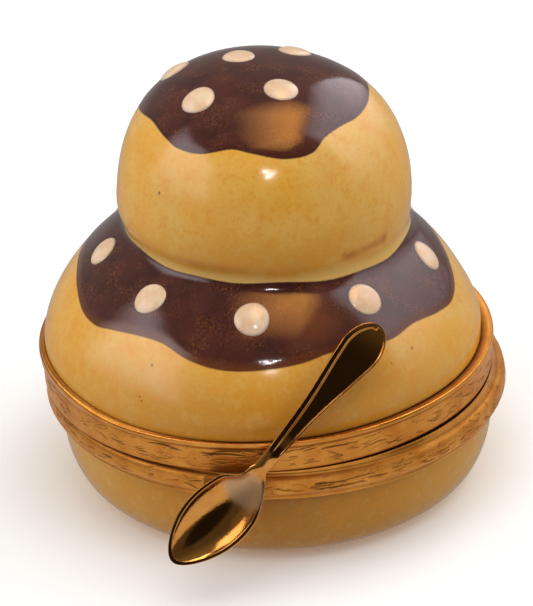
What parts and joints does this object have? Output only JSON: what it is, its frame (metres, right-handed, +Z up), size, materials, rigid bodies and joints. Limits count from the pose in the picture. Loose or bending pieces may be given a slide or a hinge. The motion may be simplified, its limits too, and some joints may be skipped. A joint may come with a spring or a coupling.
{
  "type": "hinged porcelain trinket box in the form of a cream puff",
  "caption": "Glazed porcelain trinket box in the form of a two-tier cream puff, with gilt metal rims, a hinged lid and a small spoon as its clasp.",
  "frame": {"origin": "middle of the flat foot", "axes": "+Z up, -Y to the front with the spoon, +Y to the hinge"},
  "size_m": [0.0566, 0.0653, 0.0527],
  "materials": {
    "porcelain": "glossy ochre glaze with brown glaze and cream enamel dots",
    "gilt": "hammered copper-gold gilding with dark scratches",
    "spoon_gilt": "polished copper-gold gilding"
  },
  "bodies": {
    "base": {"base_bowl": "porcelain", "base_rim": "gilt", "hinge_pin": "gilt", "catch_plate": "gilt"},
    "lid": {"lid_shell": "porcelain", "lid_rim": "gilt", "spoon": "spoon_gilt"}
  },
  "joints": [
    {"name": "lid_hinge", "type": "hinge", "parent": "base", "child": "lid", "pos_m": [0, 0.02965, 0.0138], "axis": [-1, 0, 0], "range_deg": [0, 70]}
  ]
}
